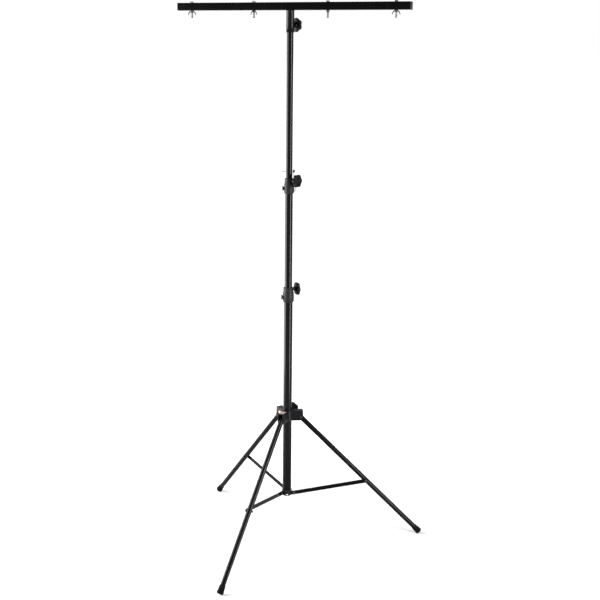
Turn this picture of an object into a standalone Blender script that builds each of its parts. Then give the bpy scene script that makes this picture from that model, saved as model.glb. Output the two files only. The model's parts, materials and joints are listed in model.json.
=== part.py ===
"""Light stand: a tripod with a sliding hub, a three-section mast and a crossbar for four lamps.

Metres, +Z up. The floor is z = 0 and the origin is the middle of the footprint. The stand is modelled
round its mast axis, with X to the right and Y away from the viewer, and one empty carries that axis
to its place in the footprint.
"""

import math

import bmesh
import bpy
from mathutils import Matrix, Vector

# Fits between pieces
SEAT = 0.0003
SLIDE_FIT = 0.0003
HOLE_FIT = 0.0003
CHEEK_FIT = 0.0006

# Mast tubes
MAIN_OD = 0.045
MAIN_WALL = 0.002
MIDDLE_OD = 0.038
MIDDLE_WALL = 0.0016
TOP_OD = 0.032
TOP_WALL = 0.0015
BASE_HEIGHT = 0.240
MAIN_LENGTH = 1.100
MIDDLE_RISE = 0.553
MIDDLE_LENGTH = 1.050
TOP_RISE = 0.8276
TOP_LENGTH = 1.020
BUSH_LENGTH = 0.030
BUSH_FLANGE = 0.006

# Collars that hold the tubes' ends
COLLAR_WALL = 0.006
COLLAR_SKIRT = 0.052
NECK_HEIGHT = 0.024
COLLAR_CHAMFER = 0.007
NECK_WALL = 0.0055
COLLAR_BOLT_DROP = 0.026
COLLAR_BOLT_OD = 0.006
COLLAR_BOLT_HEAD = 0.025
COLLAR_BOLT_HEIGHT = 0.0055
COLLAR_PAD_OD = 0.018
COLLAR_PAD_HEIGHT = 0.003

# Clamping knobs
KNOB_RADIUS = 0.0312
KNOB_LOBE = 0.0022
KNOB_LOBES = 6
KNOB_THICKNESS = 0.016
KNOB_HUB_OD = 0.026
KNOB_HUB_HEIGHT = 0.006
KNOB_EDGE = 0.003
KNOB_DISH = 0.0035
STUD_OD = 0.008
STUD_IN_KNOB = 0.012
BOSS_OD = 0.018
BOSS_REACH = 0.008
UPPER_BOSS_REACH = 0.013
HUB_BOSS_REACH = 0.0205

# Hub that carries the legs
HUB_WALL = 0.0042
HUB_HEIGHT = 0.0545
HUB_PLATE = 0.0025
HUB_PIVOT_RADIUS = 0.0675
HUB_PIVOT_HEIGHT = 0.6766
HUB_BELOW_PIVOT = 0.0176
HUB_BEYOND_PIVOT = 0.0135
HUB_CORNER = 0.010
HUB_KNOB_RISE = 0.027
PIVOT_BOLT_OD = 0.008

# Legs and feet
LEG_COUNT = 3
LEG_AZIMUTH = math.radians(3.8)
LEG_OD = 0.026
LEG_WALL = 0.0015
FOOT_RADIUS = 0.727
LEG_ABOVE_PIVOT = 0.014
LEG_CAP = 0.003
LEG_CAP_PLUG = 0.006
BOOT_LENGTH = 0.040
BOOT_WALL = 0.0018
BOOT_FLARE = 0.0025
BOOT_EDGE = 0.004
BOOT_SOLE = 0.006
BOOT_PRESS = 0.0006

# Braces between the mast foot and the legs
BASE_PIVOT_RADIUS = 0.036
BASE_PIVOT_RISE = 0.0165
BRACE_ALONG_LEG = 0.505
BRACE_WIDTH = 0.022
BRACE_THICKNESS = 0.003
BRACE_BOLT_OD = 0.006

# Bracket at the mast foot
CUP_WALL = 0.0025
CUP_FLOOR = 0.003
CUP_HEIGHT = 0.032
CUP_ROUND = 0.006
EAR_THICKNESS = 0.0025
EAR_RADIUS = 0.0095
EAR_ROOT_RISE = 0.0105
RIVET_OD = 0.005
RIVET_HEAD = 0.008
RIVET_AZIMUTH = math.radians(-86)
RIVET_RISE = 0.0094

# Crossbar
BAR_LENGTH = 1.2
BAR_SIDE = 0.037
BAR_WALL = 0.002
BAR_CORNER = 0.003
BAR_YAW = math.radians(-22.3)
BAR_CAP = 0.003
BAR_CAP_PLUG = 0.014
SLEEVE_OD = 0.039
SLEEVE_LENGTH = 0.103
SLEEVE_FIT = 0.0005
SLEEVE_LIP = 0.001
SLEEVE_LIP_HEIGHT = 0.005
WELD = 0.003
LAMP_BOLT_OD = 0.010
LAMP_BOLT_HEAD = 0.016
LAMP_BOLT_HEAD_HEIGHT = 0.0062
LAMP_BOLT_BELOW = 0.036
LAMP_BOLT_INNER = 0.191
LAMP_BOLT_INSET = 0.073
WING_BODY = 0.017
WING_BODY_HEIGHT = 0.010
WING_SPAN = 0.040
WING_HEIGHT = 0.021
WING_THICKNESS = 0.003
WING_TURNS = [math.radians(a) for a in (18, 64, 112, 30)]

# Clamping knobs round the mast: azimuths and turns
LOWER_KNOB_AZIMUTH = math.radians(21)
UPPER_KNOB_AZIMUTH = math.radians(-36)
HUB_KNOB_AZIMUTH = LEG_AZIMUTH + math.radians(60)
BAR_KNOB_AZIMUTH = math.radians(45)
LOWER_BOLT_AZIMUTH = math.radians(190)
UPPER_BOLT_AZIMUTH = math.radians(178)
BAR_KNOB_RISE = 0.036

# Safety pin
PIN_AZIMUTH = math.radians(26)
PIN_RISE = 0.035
PIN_OD = 0.006
PIN_TIP = 0.040
PIN_SHOULDER_OD = 0.011
PIN_SHOULDER = 0.003
PIN_TAIL = 0.006
HANDLE_NECK_OD = 0.009
HANDLE_NECK = 0.003
HANDLE_OD = 0.015
HANDLE_LENGTH = 0.009
HANDLE_EDGE = 0.0015
LANYARD_OD = 0.002

# Heights and radii that follow
BASE_PIVOT_HEIGHT = BASE_HEIGHT + BASE_PIVOT_RISE
MAIN_BOTTOM = BASE_HEIGHT + CUP_FLOOR + SEAT
MAIN_TOP = MAIN_BOTTOM + MAIN_LENGTH
MIDDLE_TOP = MAIN_TOP + MIDDLE_RISE
TOP_TOP = MIDDLE_TOP + TOP_RISE
BAR_UNDERSIDE = TOP_TOP + SEAT
BAR_MIDDLE = BAR_UNDERSIDE + BAR_SIDE / 2
SLEEVE_BOTTOM = BAR_UNDERSIDE - SEAT - SLEEVE_LENGTH
HUB_BOTTOM = HUB_PIVOT_HEIGHT - HUB_BELOW_PIVOT
HUB_TOP = HUB_BOTTOM + HUB_HEIGHT
HUB_RADIUS = MAIN_OD / 2 + SLIDE_FIT + HUB_WALL
CHANNEL_HALF = LEG_OD / 2 + CHEEK_FIT
HUB_HALF = CHANNEL_HALF + HUB_PLATE
LEG_ANGLE = math.atan2(FOOT_RADIUS - HUB_PIVOT_RADIUS, HUB_PIVOT_HEIGHT)
BOOT_RADIUS = LEG_OD / 2 + SEAT + BOOT_WALL + BOOT_FLARE
BOOT_DROP = HUB_PIVOT_HEIGHT + BOOT_PRESS - BOOT_EDGE - (BOOT_RADIUS - BOOT_EDGE) * math.sin(LEG_ANGLE)
BOOT_END = BOOT_DROP / math.cos(LEG_ANGLE) + BOOT_EDGE
JOINT_RADIUS = HUB_PIVOT_RADIUS + BRACE_ALONG_LEG * math.sin(LEG_ANGLE)
JOINT_HEIGHT = HUB_PIVOT_HEIGHT - BRACE_ALONG_LEG * math.cos(LEG_ANGLE)
BRACE_LENGTH = math.hypot(JOINT_RADIUS - BASE_PIVOT_RADIUS, JOINT_HEIGHT - BASE_PIVOT_HEIGHT)
BRACE_ANGLE = math.atan2(JOINT_RADIUS - BASE_PIVOT_RADIUS, JOINT_HEIGHT - BASE_PIVOT_HEIGHT)
BRACE_INNER = LEG_OD / 2 + SEAT
BRACE_OUTER = BRACE_INNER + BRACE_THICKNESS
CUP_RADIUS = MAIN_OD / 2 + SEAT + CUP_WALL
PIN_HEIGHT = MIDDLE_TOP + NECK_HEIGHT + PIN_RISE
LEG_AZIMUTHS = [LEG_AZIMUTH + k * math.tau / LEG_COUNT for k in (0, 1, -1)]

# The mast axis stands off the middle of the footprint, because the bar and the legs reach unevenly
BOOT_RIM = (BOOT_END - BOOT_EDGE) * math.sin(LEG_ANGLE) + (BOOT_RADIUS - BOOT_EDGE) * math.cos(LEG_ANGLE)
FOOT_REACH = HUB_PIVOT_RADIUS + BOOT_RIM + BOOT_EDGE
RIGHT_REACH = max(FOOT_REACH * math.cos(a) for a in LEG_AZIMUTHS)
LEFT_REACH = min(-BAR_LENGTH / 2 * math.cos(BAR_YAW), min(FOOT_REACH * math.cos(a) for a in LEG_AZIMUTHS))
BACK_REACH = max(FOOT_REACH * math.sin(a) for a in LEG_AZIMUTHS)
FRONT_REACH = min(FOOT_REACH * math.sin(a) for a in LEG_AZIMUTHS)
MAST_X = -(RIGHT_REACH + LEFT_REACH) / 2
MAST_Y = -(BACK_REACH + FRONT_REACH) / 2

# Turned shapes and local directions
TUBE_STEPS = 28
SMALL_STEPS = 24
ROUND_SIDES = 12
HOLE_SIDES = 14
OUTWARD = Matrix.Rotation(math.pi / 2, 4, "Y")
SIDEWAYS = Matrix.Rotation(-math.pi / 2, 4, "X")
STANDING = Matrix.Rotation(math.pi / 2, 4, "X")


def clear_scene():
    """Removes every object that is in the file."""
    for obj in list(bpy.data.objects):
        bpy.data.objects.remove(obj, do_unlink=True)


def new_collection(name):
    """A collection linked to the scene."""
    collection = bpy.data.collections.new(name)
    bpy.context.scene.collection.children.link(collection)
    return collection


def material(name, colour, roughness, metallic=0.0):
    """A Principled BSDF of one colour."""
    made = bpy.data.materials.new(name)
    made.use_nodes = True
    shader = made.node_tree.nodes["Principled BSDF"]
    shader.inputs["Base Color"].default_value = (*colour, 1)
    shader.inputs["Roughness"].default_value = roughness
    shader.inputs["Metallic"].default_value = metallic
    return made


def at(azimuth, radius, height):
    """A frame round the mast: X out from the axis, Y anticlockwise, Z up."""
    spot = (radius * math.cos(azimuth), radius * math.sin(azimuth), height)
    return Matrix.Translation(spot) @ Matrix.Rotation(azimuth, 4, "Z")


def empty(name, parent=None, matrix=None):
    """An empty that carries a group of pieces on its axis."""
    made = bpy.data.objects.new(name, None)
    made.empty_display_size = 0.05
    STAND.objects.link(made)
    made.parent = parent
    if matrix is not None:
        made.matrix_basis = matrix
    return made


def place(obj, parent, matrix=None, finish=None, cutter=False):
    """Parents an object, and gives a piece its material or a cutter its display."""
    (CUTTERS if cutter else STAND).objects.link(obj)
    obj.parent = parent
    if matrix is not None:
        obj.matrix_basis = matrix
    if finish is not None:
        obj.data.materials.append(finish)
    if cutter:
        obj.hide_render = True
        obj.display_type = "WIRE"
    return obj


def from_bmesh(name, bm):
    """An object from a bmesh, shaded smooth up to 35 degrees."""
    mesh = bpy.data.meshes.new(name)
    bmesh.ops.recalc_face_normals(bm, faces=bm.faces)
    bm.to_mesh(mesh)
    bm.free()
    mesh.shade_smooth()
    mesh.set_sharp_from_angle(angle=math.radians(35))
    return bpy.data.objects.new(name, mesh)


def turned(name, profile, steps=TUBE_STEPS, ring=True):
    """A profile of (radius, height) points, down the outer side, turned about Z."""
    mesh = bpy.data.meshes.new(name)
    last = len(profile) - 1
    edges = [(i, i + 1) for i in range(last)]
    if ring:
        edges.append((last, 0))
    mesh.from_pydata([(r, 0, z) for r, z in profile], edges, [])
    obj = bpy.data.objects.new(name, mesh)
    screw = obj.modifiers.new("Turn", "SCREW")
    screw.steps = steps
    screw.render_steps = steps
    screw.use_merge_vertices = True
    screw.merge_threshold = 0.00001
    screw.use_smooth_shade = True
    return obj


def tube(name, outer, wall, bottom, top, steps=TUBE_STEPS):
    """A round tube on Z."""
    inner = outer / 2 - wall
    return turned(name, [(outer / 2, top), (outer / 2, bottom), (inner, bottom), (inner, top)], steps)


def rod(name, radius, bottom, top, sides=HOLE_SIDES):
    """A plain cylinder on Z."""
    bm = bmesh.new()
    bmesh.ops.create_cone(
        bm, cap_ends=True, segments=sides, radius1=radius, radius2=radius, depth=top - bottom,
        matrix=Matrix.Translation((0, 0, (top + bottom) / 2)),
    )
    return from_bmesh(name, bm)


def box(name, low, high):
    """A box between two corners."""
    bm = bmesh.new()
    size = Vector(high) - Vector(low)
    centre = (Vector(high) + Vector(low)) / 2
    bmesh.ops.create_cube(bm, size=1, matrix=Matrix.Translation(centre) @ Matrix.Diagonal((*size, 1)))
    return from_bmesh(name, bm)


def loft(name, rings):
    """A closed skin through rings of equally many points, capped at both ends."""
    bm = bmesh.new()
    rows = [[bm.verts.new(point) for point in ring] for ring in rings]
    count = len(rows[0])
    for low, high in zip(rows, rows[1:]):
        for i in range(count):
            bm.faces.new((low[i], low[(i + 1) % count], high[(i + 1) % count], high[i]))
    bm.faces.new(reversed(rows[0]))
    bm.faces.new(rows[-1])
    return from_bmesh(name, bm)


def circle(radius, height, sides=ROUND_SIDES):
    """A ring of points round Z."""
    angles = [math.tau * i / sides for i in range(sides)]
    return [(radius * math.cos(a), radius * math.sin(a), height) for a in angles]


def hexagon(across, height, sides=ROUND_SIDES):
    """A hexagon's outline with as many points as a circle."""
    ring = []
    for i in range(sides):
        angle = math.tau * i / sides
        fold = (angle + math.pi / 6) % (math.pi / 3) - math.pi / 6
        radius = across / 2 / math.cos(fold)
        ring.append((radius * math.cos(angle), radius * math.sin(angle), height))
    return ring


def rounded_square(side, corner, x, points=4):
    """A square outline across X with rounded corners."""
    ring = []
    inset = side / 2 - corner
    for quarter in range(4):
        middle = math.pi / 4 + quarter * math.pi / 2
        cy = math.copysign(inset, math.cos(middle))
        cz = math.copysign(inset, math.sin(middle))
        for i in range(points):
            angle = middle + (i / (points - 1) - 0.5) * math.pi / 2
            ring.append((x, cy + corner * math.cos(angle), cz + corner * math.sin(angle)))
    return ring


def arc(cx, cy, radius, start, end, points):
    """Points on an arc, in degrees."""
    steps = [start + (end - start) * i / (points - 1) for i in range(points)]
    return [(cx + radius * math.cos(math.radians(a)), cy + radius * math.sin(math.radians(a))) for a in steps]


def plate(name, outline, thickness):
    """A flat outline in XY, given its thickness along Z, as a mesh."""
    curve = bpy.data.curves.new(name, "CURVE")
    curve.dimensions = "2D"
    curve.fill_mode = "BOTH"
    curve.extrude = thickness / 2
    spline = curve.splines.new("POLY")
    spline.points.add(len(outline) - 1)
    for point, (x, y) in zip(spline.points, outline):
        point.co = (x, y, 0, 1)
    spline.use_cyclic_u = True
    return meshed(name, curve)


def meshed(name, curve):
    """The mesh object of a curve, with its caps welded."""
    guide = bpy.data.objects.new(name, curve)
    bpy.context.scene.collection.objects.link(guide)
    graph = bpy.context.evaluated_depsgraph_get()
    mesh = bpy.data.meshes.new_from_object(guide.evaluated_get(graph))
    bpy.data.objects.remove(guide)
    bm = bmesh.new()
    bm.from_mesh(mesh)
    bpy.data.meshes.remove(mesh)
    bmesh.ops.remove_doubles(bm, verts=bm.verts, dist=0.00001)
    return from_bmesh(name, bm)


def boolean(obj, other, operation):
    """Adds an exact Boolean with the other object."""
    modifier = obj.modifiers.new(operation.title() + " " + other.name, "BOOLEAN")
    modifier.operation = operation
    modifier.solver = "EXACT"
    modifier.object = other


def cut(obj, tool, parent, matrix=None):
    """Cuts a tool out of an object."""
    boolean(obj, place(tool, parent, matrix, cutter=True), "DIFFERENCE")


def fuse(obj, other, parent, matrix=None):
    """Joins a shape to an object."""
    boolean(obj, place(other, parent, matrix, cutter=True), "UNION")


def main_tube():
    """Lowest and widest tube, drilled for the collar's bolt and the foot rivet."""
    obj = tube("main_tube", MAIN_OD, MAIN_WALL, MAIN_BOTTOM, MAIN_TOP)
    place(obj, MAST, finish=BLACK_STEEL)
    bolt = rod("main_tube_bolt_hole", COLLAR_BOLT_OD / 2 + HOLE_FIT, 0, MAIN_OD)
    cut(obj, bolt, MAST, at(LOWER_BOLT_AZIMUTH, 0, MAIN_TOP - COLLAR_BOLT_DROP) @ OUTWARD)
    rivet = rod("main_tube_rivet_hole", RIVET_OD / 2 + HOLE_FIT, 0, MAIN_OD)
    cut(obj, rivet, MAST, at(RIVET_AZIMUTH, 0, BASE_HEIGHT + RIVET_RISE) @ OUTWARD)


def collar(name, outer_od, inner_od, tube_top, parent, knob_azimuth, boss_reach, bolt_azimuth):
    """Moulded collar: a skirt over the lower tube's end and a neck that guides the upper tube."""
    shoulder = tube_top + SEAT
    bolt_height = tube_top - COLLAR_BOLT_DROP
    skirt = outer_od / 2 + SEAT
    bore = inner_od / 2 + SLIDE_FIT
    belly = skirt + COLLAR_WALL
    neck = bore + NECK_WALL
    bottom = shoulder - COLLAR_SKIRT
    top = shoulder + NECK_HEIGHT
    profile = [
        (neck - 0.0015, top),
        (neck, top - 0.0015),
        (neck + 0.0004, shoulder + 0.004),
        (belly - 0.0008, shoulder - 0.006),
        (belly, shoulder - COLLAR_SKIRT / 2),
        (belly - 0.0004, bottom + COLLAR_CHAMFER),
        (belly - 0.0024, bottom + COLLAR_CHAMFER / 3),
        (skirt + 0.0016, bottom),
        (skirt, bottom),
        (skirt, shoulder),
        (bore, shoulder),
        (bore, top),
    ]
    obj = place(turned(name, profile), parent, finish=COLLAR_PLASTIC)
    knob_height = top - BOSS_OD / 2 - 0.0012
    boss_end = neck + boss_reach
    boss = rod(name + "_boss", BOSS_OD / 2, bore + NECK_WALL / 2, boss_end, SMALL_STEPS)
    fuse(obj, boss, parent, at(knob_azimuth, 0, knob_height) @ OUTWARD)
    stud_hole = rod(name + "_stud_hole", STUD_OD / 2 + HOLE_FIT, bore / 2, boss_end + bore)
    cut(obj, stud_hole, parent, at(knob_azimuth, 0, knob_height) @ OUTWARD)
    pad_end = belly + COLLAR_PAD_HEIGHT
    pad = rod(name + "_pad", COLLAR_PAD_OD / 2, belly - COLLAR_WALL / 2, pad_end, SMALL_STEPS)
    fuse(obj, pad, parent, at(bolt_azimuth, 0, bolt_height) @ OUTWARD)
    bolt_hole = rod(name + "_bolt_hole", COLLAR_BOLT_OD / 2 + HOLE_FIT, skirt / 2, pad_end + skirt)
    cut(obj, bolt_hole, parent, at(bolt_azimuth, 0, bolt_height) @ OUTWARD)
    collar_bolt(name + "_bolt", outer_od, pad_end, parent, bolt_azimuth, bolt_height)
    knob(name.replace("collar", "knob"), inner_od / 2 + SEAT, boss_end, parent, knob_azimuth, knob_height, 30)


def collar_bolt(name, tube_od, pad_end, parent, azimuth, height):
    """Round-headed bolt that holds a collar on its tube. It stops inside the tube's wall."""
    radius = COLLAR_BOLT_OD / 2
    head = COLLAR_BOLT_HEAD / 2
    seat = pad_end + SEAT
    rings = [
        circle(radius, tube_od / 2 - 0.0012),
        circle(radius, seat),
        circle(head, seat),
        circle(head, seat + COLLAR_BOLT_HEIGHT * 0.6),
        circle(head * 0.72, seat + COLLAR_BOLT_HEIGHT),
    ]
    place(loft(name, rings), parent, at(azimuth, 0, height) @ OUTWARD, BLACK_BOLT)


def lobed(scale, height, lobe=1.0, points=5):
    """One section of a knob: a circle with lobes."""
    ring = []
    count = KNOB_LOBES * points
    for i in range(count):
        angle = math.tau * i / count
        radius = scale * (KNOB_RADIUS + lobe * KNOB_LOBE * math.cos(KNOB_LOBES * angle))
        ring.append((radius * math.cos(angle), radius * math.sin(angle), height))
    return ring


def knob(name, stud_tip, boss_end, parent, azimuth, height, turn):
    """Lobed clamping knob and the steel stud moulded into it."""
    hub = KNOB_HUB_OD / 2 / KNOB_RADIUS
    rim = KNOB_HUB_HEIGHT
    front = rim + KNOB_THICKNESS
    rings = [
        lobed(hub, 0, 0),
        lobed(hub * 1.05, rim, 0.2),
        lobed(0.86, rim + 0.0006),
        lobed(1, rim + KNOB_EDGE),
        lobed(1, front - KNOB_EDGE),
        lobed(0.94, front, 0.9),
        lobed(0.64, front - 0.0004, 0.3),
        lobed(0.50, front - KNOB_DISH, 0),
    ]
    start = boss_end + SEAT
    spin = Matrix.Rotation(math.radians(turn), 4, "Z")
    frame = at(azimuth, start, height) @ OUTWARD @ spin
    obj = place(loft(name, rings), parent, frame, KNOB_PLASTIC)
    hole = rod(name + "_stud_hole", STUD_OD / 2 + SEAT, -STUD_IN_KNOB, STUD_IN_KNOB)
    cut(obj, hole, parent, frame)
    radius = STUD_OD / 2
    tip = stud_tip - start
    rings = [
        circle(radius * 0.7, tip),
        circle(radius, tip + 0.0015),
        circle(radius, STUD_IN_KNOB - SEAT),
    ]
    place(loft(name + "_stud", rings), parent, frame, STEEL)


def bush(name, inner_od, wall, outer_od, outer_wall, bottom, parent):
    """Plastic bush in a tube's lower end, with a flange that runs in the wider tube."""
    flange = outer_od / 2 - outer_wall - SLIDE_FIT
    plug = inner_od / 2 - wall - SEAT
    bore = plug - 0.003
    seat = bottom - SEAT
    profile = [
        (plug, seat + BUSH_LENGTH - BUSH_FLANGE),
        (plug, seat),
        (flange, seat),
        (flange, seat - BUSH_FLANGE),
        (bore, seat - BUSH_FLANGE),
        (bore, seat + BUSH_LENGTH - BUSH_FLANGE),
    ]
    place(turned(name, profile, SMALL_STEPS), parent, finish=WHITE_PLASTIC)


def middle_section():
    """Middle tube with the upper collar and the bush at its lower end."""
    bottom = MIDDLE_TOP - MIDDLE_LENGTH
    obj = tube("middle_tube", MIDDLE_OD, MIDDLE_WALL, bottom, MIDDLE_TOP)
    place(obj, MIDDLE, finish=BLACK_STEEL)
    hole = rod("middle_tube_bolt_hole", COLLAR_BOLT_OD / 2 + HOLE_FIT, 0, MIDDLE_OD)
    cut(obj, hole, MIDDLE, at(UPPER_BOLT_AZIMUTH, 0, MIDDLE_TOP - COLLAR_BOLT_DROP) @ OUTWARD)
    bush("middle_tube_bush", MIDDLE_OD, MIDDLE_WALL, MAIN_OD, MAIN_WALL, bottom, MIDDLE)
    azimuths = (UPPER_KNOB_AZIMUTH, UPPER_BOSS_REACH, UPPER_BOLT_AZIMUTH)
    collar("upper_collar", MIDDLE_OD, TOP_OD, MIDDLE_TOP, MIDDLE, *azimuths)


def top_section():
    """Top tube, cross-drilled for the safety pin, with its bush."""
    bottom = TOP_TOP - TOP_LENGTH
    obj = tube("top_tube", TOP_OD, TOP_WALL, bottom, TOP_TOP)
    place(obj, TOP, finish=BLACK_STEEL)
    hole = rod("top_tube_pin_hole", PIN_OD / 2 + HOLE_FIT, -TOP_OD, TOP_OD)
    cut(obj, hole, TOP, at(PIN_AZIMUTH, 0, PIN_HEIGHT) @ OUTWARD)
    bush("top_tube_bush", TOP_OD, TOP_WALL, MIDDLE_OD, MIDDLE_WALL, bottom, TOP)


def leg_hub():
    """Hub that slides on the main tube: a ring with three channel brackets and a boss for its knob."""
    ring = [
        (0, HUB_TOP),
        (HUB_RADIUS - 0.001, HUB_TOP),
        (HUB_RADIUS, HUB_TOP - 0.001),
        (HUB_RADIUS, HUB_BOTTOM + 0.001),
        (HUB_RADIUS - 0.001, HUB_BOTTOM),
        (0, HUB_BOTTOM),
    ]
    down = Matrix.Translation((0, 0, -HUB_PIVOT_HEIGHT))
    obj = place(turned("leg_hub", ring, ring=False), HUB, down, HUB_STEEL)
    reach = HUB_PIVOT_RADIUS + HUB_BEYOND_PIVOT
    low = HUB_BOTTOM - HUB_PIVOT_HEIGHT
    high = HUB_TOP - HUB_PIVOT_HEIGHT
    outline = [(0.012, high), (0.012, low)]
    outline += arc(reach - HUB_CORNER, low + HUB_CORNER, HUB_CORNER, -90, 0, 5)
    outline += arc(reach - 0.002, high - 0.002, 0.002, 0, 90, 3)
    for number, azimuth in enumerate(LEG_AZIMUTHS, 1):
        bracket = plate(f"hub_bracket_{number}", outline, 2 * HUB_HALF)
        fuse(obj, bracket, HUB, at(azimuth, 0, 0) @ STANDING)
    knob_height = HUB_KNOB_RISE
    boss_end = HUB_RADIUS + HUB_BOSS_REACH
    boss = rod("hub_boss", BOSS_OD / 2, HUB_RADIUS / 2, boss_end, SMALL_STEPS)
    fuse(obj, boss, HUB, at(HUB_KNOB_AZIMUTH, 0, knob_height) @ OUTWARD)
    for number, azimuth in enumerate(LEG_AZIMUTHS, 1):
        channel = box(
            f"hub_channel_{number}",
            (HUB_RADIUS + 0.002, -CHANNEL_HALF, low - 0.01),
            (reach + 0.02, CHANNEL_HALF, high - HUB_PLATE),
        )
        cut(obj, channel, HUB, at(azimuth, 0, 0))
        hole = rod(f"hub_pivot_hole_{number}", PIVOT_BOLT_OD / 2 + HOLE_FIT, -2 * HUB_HALF, 2 * HUB_HALF)
        cut(obj, hole, HUB, at(azimuth, HUB_PIVOT_RADIUS, 0) @ SIDEWAYS)
    bore = rod("hub_bore", MAIN_OD / 2 + SLIDE_FIT, low - 0.01, high + 0.01, TUBE_STEPS)
    cut(obj, bore, HUB)
    stud_hole = rod("hub_stud_hole", STUD_OD / 2 + HOLE_FIT, MAIN_OD / 4, boss_end + 0.01)
    cut(obj, stud_hole, HUB, at(HUB_KNOB_AZIMUTH, 0, knob_height) @ OUTWARD)
    knob("hub_knob", MAIN_OD / 2 + SEAT, boss_end, HUB, HUB_KNOB_AZIMUTH, knob_height, 0)


def hub_pivot(number, azimuth):
    """Bolt and nut on which a leg swings in its bracket."""
    radius = PIVOT_BOLT_OD / 2
    face = HUB_HALF + SEAT
    rings = [
        circle(0.0052, -face - 0.0050),
        circle(0.0068, -face - 0.0032),
        circle(0.0068, -face),
        circle(radius, -face),
        circle(radius, face),
        hexagon(0.013, face),
        hexagon(0.013, face + 0.0065),
        circle(radius, face + 0.0065),
        circle(radius * 0.9, face + 0.0090),
    ]
    frame = at(azimuth, HUB_PIVOT_RADIUS, 0) @ SIDEWAYS
    place(loft(f"leg_pivot_bolt_{number}", rings), HUB, frame, BLACK_BOLT)


def leg(number, hinge):
    """Leg tube on its hinge, with the cap, the rubber foot and the leg's half of the brace bolt."""
    top = LEG_ABOVE_PIVOT - LEG_CAP - SEAT
    end = BOOT_END - BOOT_SOLE - SEAT
    frame = Matrix.Rotation(-LEG_ANGLE, 4, "Y")
    obj = tube(f"leg_tube_{number}", LEG_OD, LEG_WALL, -end, top, SMALL_STEPS)
    place(obj, hinge, frame, BLACK_STEEL)
    pivot = rod(f"leg_pivot_hole_{number}", PIVOT_BOLT_OD / 2 + HOLE_FIT, -LEG_OD, LEG_OD)
    cut(obj, pivot, hinge, frame @ SIDEWAYS)
    joint = frame @ Matrix.Translation((0, 0, -BRACE_ALONG_LEG)) @ SIDEWAYS
    cut(obj, rod(f"leg_bolt_hole_{number}", BRACE_BOLT_OD / 2 + HOLE_FIT, -LEG_OD, LEG_OD), hinge, joint)
    plug = LEG_OD / 2 - LEG_WALL - SEAT
    rings = [
        circle(plug, top - LEG_CAP_PLUG, SMALL_STEPS),
        circle(plug, top + SEAT, SMALL_STEPS),
        circle(LEG_OD / 2, top + SEAT, SMALL_STEPS),
        circle(LEG_OD / 2 - 0.002, LEG_ABOVE_PIVOT, SMALL_STEPS),
    ]
    place(loft(f"leg_cap_{number}", rings), hinge, frame, BLACK_PLASTIC)
    foot(number, hinge, frame)
    radius = BRACE_BOLT_OD / 2
    face = LEG_OD / 2 + SEAT
    rings = [
        circle(radius, -LEG_OD / 2),
        circle(radius, face),
        hexagon(0.010, face),
        hexagon(0.010, face + 0.005),
        circle(radius, face + 0.005),
        circle(radius * 0.85, face + 0.008),
    ]
    place(loft(f"brace_bolt_{number}", rings), hinge, joint, BLACK_BOLT)


def foot(number, hinge, frame):
    """Rubber boot cut square to the leg. It stands on its lower edge, pressed flat there."""
    inner = LEG_OD / 2 + SEAT
    pocket = -(BOOT_END - BOOT_SOLE)
    top = -(BOOT_END - BOOT_LENGTH)
    profile = [
        (0, pocket),
        (inner, pocket),
        (inner, top),
        (inner + BOOT_WALL - 0.0006, top),
        (inner + BOOT_WALL, top - 0.0015),
    ]
    profile += arc(BOOT_RADIUS - BOOT_EDGE, -BOOT_END + BOOT_EDGE, BOOT_EDGE, 0, -90, 5)
    profile.append((0, -BOOT_END))
    obj = place(turned(f"foot_{number}", profile, SMALL_STEPS, ring=False), hinge, frame, RUBBER)
    level = hinge.matrix_basis.inverted() @ Matrix.Translation((0, 0, -HUB_PIVOT_HEIGHT))
    floor = box(f"floor_cut_{number}", (-2, -2, -0.2), (2, 2, 0))
    cut(obj, floor, hinge, level)


def brace_section(height, half_width, inner, thickness, power, points=16):
    """One section across a brace: a superellipse beside the leg."""
    ring = []
    for i in range(points):
        angle = math.tau * i / points
        c, s = math.cos(angle), math.sin(angle)
        x = half_width * math.copysign(abs(c) ** (2 / power), c)
        y = thickness / 2 * math.copysign(abs(s) ** (2 / power), s)
        ring.append((x, -inner - thickness / 2 + y, height))
    return ring


def brace(number, hinge):
    """Flat strip with rounded ends, on the clockwise side of its leg, and the head of its bolt."""
    rings = []
    half = BRACE_WIDTH / 2
    for angle in (82, 50, 22, 0):
        back = half * math.sin(math.radians(angle))
        width = half * math.cos(math.radians(angle))
        rings.append(brace_section(-back, width, BRACE_INNER, BRACE_THICKNESS, 5))
    mirrored = [[(x, y, BRACE_LENGTH - z) for x, y, z in ring] for ring in reversed(rings)]
    frame = Matrix.Rotation(BRACE_ANGLE, 4, "Y")
    obj = place(loft(f"brace_{number}", rings + mirrored), hinge, frame, BLACK_STEEL)
    for end, distance in (("base", 0), ("leg", BRACE_LENGTH)):
        hole = rod(f"brace_{end}_hole_{number}", BRACE_BOLT_OD / 2 + HOLE_FIT, -0.06, 0.06)
        cut(obj, hole, hinge, frame @ Matrix.Translation((0, 0, distance)) @ SIDEWAYS)
    radius = BRACE_BOLT_OD / 2
    face = BRACE_OUTER + SEAT
    rings = [
        circle(0.0045, -face - 0.0045),
        circle(0.0065, -face - 0.0028),
        circle(0.0065, -face),
        circle(radius, -face),
        circle(radius, -BRACE_INNER),
    ]
    joint = frame @ Matrix.Translation((0, 0, BRACE_LENGTH)) @ SIDEWAYS
    place(loft(f"brace_bolt_head_{number}", rings), hinge, joint, BLACK_BOLT)


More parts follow.
